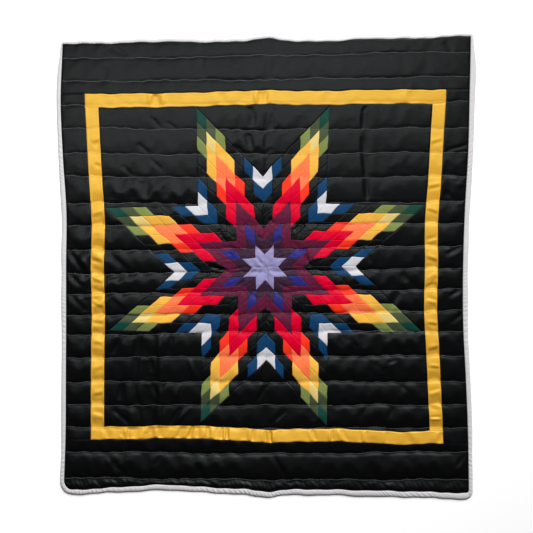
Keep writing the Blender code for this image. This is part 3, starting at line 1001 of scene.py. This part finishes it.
# Wide black bands: the head and foot borders run the full width, the side ones fit between
def makeBorders(cloths, grid):
    pieces = []
    zero, one = np.zeros(1), np.ones(1)
    shares = {place: upShare(corner[1], float(place[0] == "right")) for place, corner in corners.items()}
    for side in ("left", "right"):
        low, high = corners[side, "foot"][1], corners[side, "head"][1]
        outer = alongEdge(side, shares[side, "foot"], shares[side, "head"])
        inner = alongSash(side, 0.0, low, high)
        width, length = float(np.linalg.norm(outer(zero)[0] - inner(zero)[0])), high - low
        cells = (cellsFor(width, "band"), cellsFor(length, "band"))
        pieces.append(layCloth("border_" + side, fillBand(side, outer, inner), cells, (width, length),
                               [cloths["black"]], grid, (width + seam["bothSides"], length)))
    for end in ("foot", "head"):
        full = 0.0 if end == "foot" else 1.0
        caps = [alongEdge(side, *sorted((full, shares[side, end]))) for side in ("left", "right")]
        start, stop = (alongEdge(side, shares[side, end], full)(zero)[0, 0] for side in ("left", "right"))
        sashStart, sashStop = (corners[side, end][0] for side in ("left", "right"))

        def inner(share):
            x = start + (stop - start) * share
            return np.stack([x, sashAt(end, np.clip(x, sashStart, sashStop))], -1)

        at = fillBand(end, alongEdge(end, 0.0, 1.0), inner, caps)
        width = stop - start
        depth = abs(float(caps[0](one)[0][1] - caps[0](zero)[0][1]))
        cells = (cellsFor(width, "band"), cellsFor(depth, "band"))
        pieces.append(layCloth("border_" + end, at, cells, (width, depth), [cloths["black"]], grid,
                               (depth + seam["bothSides"], width)))
    return pieces


# Edge, back and thread

binding = {
    "gap": 0.3 * mm,            # between the strip and the quilt's edge
    "thickness": 8.0 * mm,
    "width": {
        "left": (0.014, 0.016, 0.017, 0.013),
        "right": (0.014, 0.018, 0.018, 0.022),
        "foot": (0.016, 0.018, 0.019, 0.022),
        "head": (0.011, 0.013, 0.010, 0.011),
    },
    "profile": (0.80, 0.93, 0.98, 1.00, 1.00, 0.97, 0.91, 0.80, 0.48),     # from the face outwards
    "headTuck": 0.55,           # the side strips are tucked under towards the head corners
    "tuckLength": 0.08,
    "step": 2.0 * mm,
    "puff": 0.07,               # its filling is a little uneven
    "wrinkle": {"left": 0.7 * mm, "right": 0.7 * mm, "foot": 1.2 * mm, "head": 0.7 * mm},
}

backing = {
    "cell": 10 * mm,
    "perChannel": 10,
    "height": 0.1 * mm,         # off the ground
    "recess": 1.6 * mm,         # how far the quilting pulls the back in
    "recessWidth": 7 * mm,
    "edgeHeight": 4.0 * mm,     # the back turns up behind the binding
    "cutExtra": 0.02,           # cut this much larger than the quilt
}

thread = {
    "pitch": 5.6 * mm,          # real stitches are 3 mm long, sewn a little longer so that they show
    "stitch": 4.0 * mm,
    "radius": 0.40 * mm,
    "lift": 0.25 * mm,
    "along": (-1.0, -0.6, 0.0, 0.6, 1.0),       # rings of one stitch, and how thick it is at each
    "girth": (0.15, 0.85, 1.0, 0.85, 0.15),
}


def bindingWidth(side, along):
    width = smoothCurve(binding["width"][side], along)
    if side in ("left", "right"):
        fromHead = (1 - along) * quilt["length"]
        width = width * (1 - binding["headTuck"] * np.exp(-(fromHead / binding["tuckLength"]) ** 2))
    return width


def bindingStrip(side, cloth):
    length = quilt["length"] if side in ("left", "right") else quilt["width"]
    steps, sections = int(length / binding["step"]) + 1, len(binding["profile"])
    along, across = evenPlaces(steps, sections)
    width = bindingWidth(side, along)
    lean = along * length - across * width * 0.9        # wrinkles slant across the strip
    wander = np.sin(lean * 380 + 5 * np.sin(lean * 17))
    wander += 0.7 * np.sin(lean * 643 + 1.3 + 6 * np.sin(lean * 29))
    wander *= 0.6 + 0.4 * np.sin(lean * 11 + 0.8)
    puff = np.sin(lean * 23 + 1.9 * np.sin(lean * 7.3)) * np.clip(20 * along * (1 - along), 0, 1)
    atEnd = 1.0 if side in ("right", "head") else 0.0
    out = {name: binding["gap"] + bindingWidth(name, atEnd) * across for name in binding["width"]}
    out[side] = binding["gap"] + width * across * (1 + 0.05 * puff * across)
    inset = {name: -reach for name, reach in out.items()}
    gap = binding["gap"] / length
    plan = sidePoints(panelLines, side, np.clip(along, gap, 1 - gap), inset)
    x, y = roundCorners(*plan.T, out)
    height = binding["thickness"] * np.interp(across, np.linspace(0, 1, sections), binding["profile"])
    height = height * (1 + binding["puff"] * puff)
    height += binding["wrinkle"][side] * wander * np.sin(across * math.pi) ** 0.7
    top, bottom = inFrame(x, y, height), inFrame(x, y, np.zeros_like(height))
    index, quads = gridFaces(steps, sections)
    rim = rimOf(index)
    faces = np.concatenate([quads, quads[:, ::-1] + len(top), wallBetween(rim, rim + len(top))])
    if side in ("left", "head"):
        faces = faces[:, ::-1]
    piece = makePiece("edge_" + side, np.concatenate([top, bottom]), faces, [cloth])
    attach(piece, "root")
    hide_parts("binding_" + side)
    return piece


def makeBacking(cloth):
    columns = int(quilt["width"] / backing["cell"]) + 1
    rows = backing["perChannel"] * channelCount + 1
    share, row = evenPlaces(columns, rows, channelCount)
    x, y, unused = plainRelief(share, row)
    fromLine = np.abs(row - np.round(row)) * quilt["length"] / channelCount
    inside = (np.round(row) > 0) & (np.round(row) < channelCount)
    height = backing["recess"] * np.exp(-(fromLine / backing["recessWidth"]) ** 2) * inside
    points = inFrame(*roundCorners(x, y), height + backing["height"])
    index, quads = gridFaces(columns, rows)
    rim = rimOf(index)
    turned = points[rim].copy()
    turned[:, 2] = backing["edgeHeight"]
    faces = np.concatenate([quads, wallBetween(rim, len(points) + np.arange(len(rim)))])
    piece = makePiece("backing", np.concatenate([points, turned]), faces, [cloth])
    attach(piece, "root")
    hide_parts("quilt_body")
    return piece


# One line of stitches on the face and its partner on the back
def stitchLine(line, cloth, grid):
    count = int(quilt["width"] / thread["pitch"])
    middles = (np.arange(count) + 0.5) / count
    reach = np.array(thread["along"]) * thread["stitch"] / 2 / quilt["width"]
    thick = np.tile(thread["girth"], count) * thread["radius"]
    points = []
    for onFace in (True, False):
        share = middles[:, None] + reach + (0.0 if onFace else 0.5 / count)
        share = np.clip(share, 0.002, 0.998).ravel()        # no stitch reaches into the white edge
        row = np.full_like(share, line + 1.0)
        x, y, unused = plainRelief(share, row)
        height = backing["recess"]
        if onFace:
            height = faceAt(grid, share, row, x, y)[:, 2] + thread["lift"]
        for turn in range(4):
            angle = turn * math.pi / 2
            points.append(inFrame(x, y + thick * math.cos(angle), height + thick * math.sin(angle)))
    points = np.stack(points, 1).reshape(-1, 3)
    index = np.arange(len(points)).reshape(count, len(thread["along"]), 2, 4)
    after = np.roll(index, -1, 3)
    sides = np.stack([index[:, :-1], index[:, 1:], after[:, 1:], after[:, :-1]], -1).reshape(-1, 4)
    caps = [index[:, 0].reshape(-1, 4), index[:, -1].reshape(-1, 4)[:, ::-1]]
    piece = makePiece("stitches_%02d" % (line + 1), points, np.concatenate([sides, *caps]), [cloth])
    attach(piece, "root")
    return piece


# Camera and light: seen from straight above, lit by a wide window beyond the head end

view = {
    "lens": 85,
    "sensor": 36,
    "seen": 1.9545,         # metres across the picture
    "faceHeight": 0.012,
}
daylight = {"strength": 3.55, "elevation": 36, "turn": -20, "spread": 34}       # W/m2, then degrees
softbox = {"place": (-0.20, 0.97, 2.0), "size": (2.5, 0.80), "power": 42}       # low gloss on the head third
worldLight = 0.06


def putInScene(name, data, place=(0, 0, 0), turn=(0, 0, 0)):
    holder = bpy.data.objects.new(name, data)
    holder.location = place
    holder.rotation_euler = turn
    bpy.context.scene.collection.objects.link(holder)
    return holder


def makeCamera():
    camera = bpy.data.cameras.new("camera")
    camera.lens = view["lens"]
    camera.sensor_width = view["sensor"]
    distance = view["seen"] * view["lens"] / view["sensor"] + view["faceHeight"]
    place = (quilt["shiftX"], quilt["shiftY"], distance)
    bpy.context.scene.camera = putInScene("camera", camera, place)


def makeLights():
    window = bpy.data.lights.new("wideWindow", "SUN")
    window.energy = daylight["strength"]
    window.angle = math.radians(daylight["spread"])
    turn = (math.radians(daylight["elevation"] - 90), 0, math.radians(daylight["turn"]))
    putInScene("wideWindow", window, turn=turn)
    panel = bpy.data.lights.new("softbox", "AREA")
    panel.shape = "RECTANGLE"
    panel.size, panel.size_y = softbox["size"]
    panel.energy = softbox["power"]
    turn = (-Vector(softbox["place"])).to_track_quat("-Z", "Y").to_euler()
    putInScene("softbox", panel, softbox["place"], turn)
    world = bpy.data.worlds.new("softRoom")
    world.use_nodes = True
    background = world.node_tree.nodes["Background"]
    setNode(world.node_tree, background, {"Color": (1.0, 1.0, 1.0, 1.0), "Strength": worldLight})
    bpy.context.scene.world = world
    bpy.context.scene.view_settings.view_transform = "Standard"


grid = reliefGrid()
print("relief worked out:", grid.shape)
cloths = {name: satinCloth(name, hexColour) for name, hexColour in satinColours.items()}
whiteCotton = wovenCotton("white", "#c0bec0")
# Pale grey thread: its own grey, lightened so that each stitch line also shows a painted glint
threadWithPaintedGlint = spunThread("#8a8e90")
arms = makeStar(cloths, grid)
print("star pieced:", len(arms), "arms of", len(armChart) ** 2, "diamonds")
setting = makeSetting(cloths, grid)
sash = makeSash(cloths, grid)
borders = makeBorders(cloths, grid)
print("panel set:", len(setting), "setting pieces,", len(sash), "sash bands,", len(borders), "borders")
makeBacking(whiteCotton)
edges = [bindingStrip(side, whiteCotton) for side in ("left", "right", "foot", "head")]
print("edge bound:", len(edges), "strips")
stitches = [stitchLine(line, threadWithPaintedGlint, grid) for line in range(len(quiltingLines))]
print("quilted:", len(stitches), "lines of stitches")
studioFloor()
makeCamera()
makeLights()
